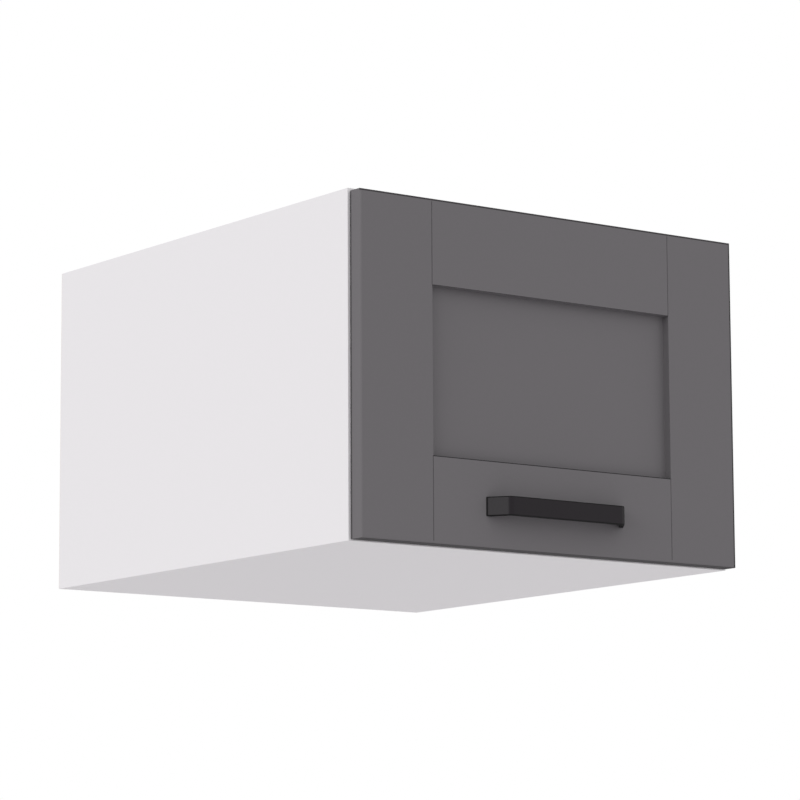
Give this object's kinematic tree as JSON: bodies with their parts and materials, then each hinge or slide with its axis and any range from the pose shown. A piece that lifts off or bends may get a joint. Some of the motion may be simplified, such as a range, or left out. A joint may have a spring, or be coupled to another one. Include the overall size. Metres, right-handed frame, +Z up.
{
  "type": "kitchen wall cabinet",
  "caption": "Deep, low kitchen wall cabinet with a framed lift-up door, bow handle, concealed cup hinges, gas strut and wall hangers.",
  "frame": {"origin": "on the wall plane, midway between the two hanger hooks, at the height of the edges that rest on the wall rail", "axes": "+X to the cabinet's right as seen from the front, +Y into the wall, +Z up; the door faces -Y"},
  "size_m": [0.5, 0.6012, 0.36],
  "materials": {
    "white_board": "white melamine on chipboard, fine satin texture",
    "white_edge": "white satin edge band",
    "door_grey": "matte grey lacquer on fibreboard",
    "handle_dark": "matte anthracite coating on cast zinc",
    "zinc": "bright zinc plate",
    "nickel": "nickel plate",
    "cam_zinc": "raw zinc casting",
    "beech": "bare fluted beech",
    "white_plastic": "moulded, fine matte",
    "black_plastic": "glass-filled nylon, fine matte",
    "bumper_soft": "milky soft polyurethane",
    "strut_black": "semi-gloss black lacquer",
    "rod_bright": "ground and polished"
  },
  "bodies": {
    "carcass": {"side_panel_left": "white_board", "side_panel_right": "white_board", "top_panel": "white_board", "bottom_panel": "white_board", "back_panel": "white_board", "front_edge_bands": "white_edge", "carcass_dowels": "beech", "cam_bolts": "zinc", "cam_locks": "cam_zinc", "cam_caps": "white_plastic", "hanger_body_left": "white_plastic", "hanger_body_right": "white_plastic", "hanger_hook_left": "zinc", "hanger_hook_right": "zinc", "hanger_screws": "zinc", "hinge_plate_left": "nickel", "hinge_plate_right": "nickel", "hinge_plate_screws": "nickel", "hinge_arm_left": "nickel", "hinge_arm_right": "nickel", "hinge_arm_screws": "zinc", "hinge_pins": "nickel", "strut_side_bracket": "zinc", "strut_side_screws": "zinc"},
    "door": {"door_stile_left": "door_grey", "door_stile_right": "door_grey", "door_rail_top": "door_grey", "door_rail_bottom": "door_grey", "door_panel": "door_grey", "door_bumpers": "bumper_soft", "handle": "handle_dark", "handle_screws": "zinc", "hinge_cup_left": "nickel", "hinge_cup_right": "nickel", "hinge_cup_screws": "nickel", "strut_door_bracket": "zinc", "strut_door_screws": "zinc"},
    "inner_link_left": {"hinge_inner_link_left": "nickel"},
    "inner_link_right": {"hinge_inner_link_right": "nickel"},
    "outer_link_left": {"hinge_outer_link_left": "nickel"},
    "outer_link_right": {"hinge_outer_link_right": "nickel"},
    "strut_cylinder": {"strut_lower_socket": "black_plastic", "strut_tube": "strut_black", "strut_gland": "black_plastic"},
    "strut_piston_rod": {"strut_rod": "rod_bright", "strut_upper_socket": "black_plastic", "strut_ball": "zinc"}
  },
  "joints": [
    {"name": "door_lift", "type": "hinge", "parent": "carcass", "child": "door", "pos_m": [0, -0.5745, 0.033], "axis": [-1, 0, 0], "range_deg": [0, 85]},
    {"name": "inner_link_left_turn", "type": "hinge", "parent": "carcass", "child": "inner_link_left", "pos_m": [-0.126, -0.56548, 0.00439], "axis": [1, 0, 0], "range_deg": [0, 33.3]},
    {"name": "outer_link_left_turn", "type": "hinge", "parent": "carcass", "child": "outer_link_left", "pos_m": [-0.126, -0.56922, 0.00449], "axis": [1, 0, 0], "range_deg": [0, 24.4]},
    {"name": "inner_link_right_turn", "type": "hinge", "parent": "carcass", "child": "inner_link_right", "pos_m": [0.126, -0.56548, 0.00439], "axis": [1, 0, 0], "range_deg": [0, 33.3]},
    {"name": "outer_link_right_turn", "type": "hinge", "parent": "carcass", "child": "outer_link_right", "pos_m": [0.126, -0.56922, 0.00449], "axis": [1, 0, 0], "range_deg": [0, 24.4]},
    {"name": "strut_swing", "type": "hinge", "parent": "carcass", "child": "strut_cylinder", "pos_m": [0.22, -0.4545, -0.167], "axis": [1, 0, 0], "range_deg": [0, 15.7]},
    {"name": "strut_extend", "type": "slide", "parent": "strut_cylinder", "child": "strut_piston_rod", "axis": [0, -0.5278, 0.8494], "range_m": [0, 0.075]}
  ],
  "couplings": [
    {"joint": "inner_link_left_turn", "follows": "door_lift", "ratio": 0.39116},
    {"joint": "outer_link_left_turn", "follows": "door_lift", "ratio": 0.28664},
    {"joint": "inner_link_right_turn", "follows": "door_lift", "ratio": 0.39116},
    {"joint": "outer_link_right_turn", "follows": "door_lift", "ratio": 0.28664},
    {"joint": "strut_swing", "follows": "door_lift", "ratio": 0.18444},
    {"joint": "strut_extend", "follows": "door_lift", "m_per_rad": 0.050532}
  ]
}
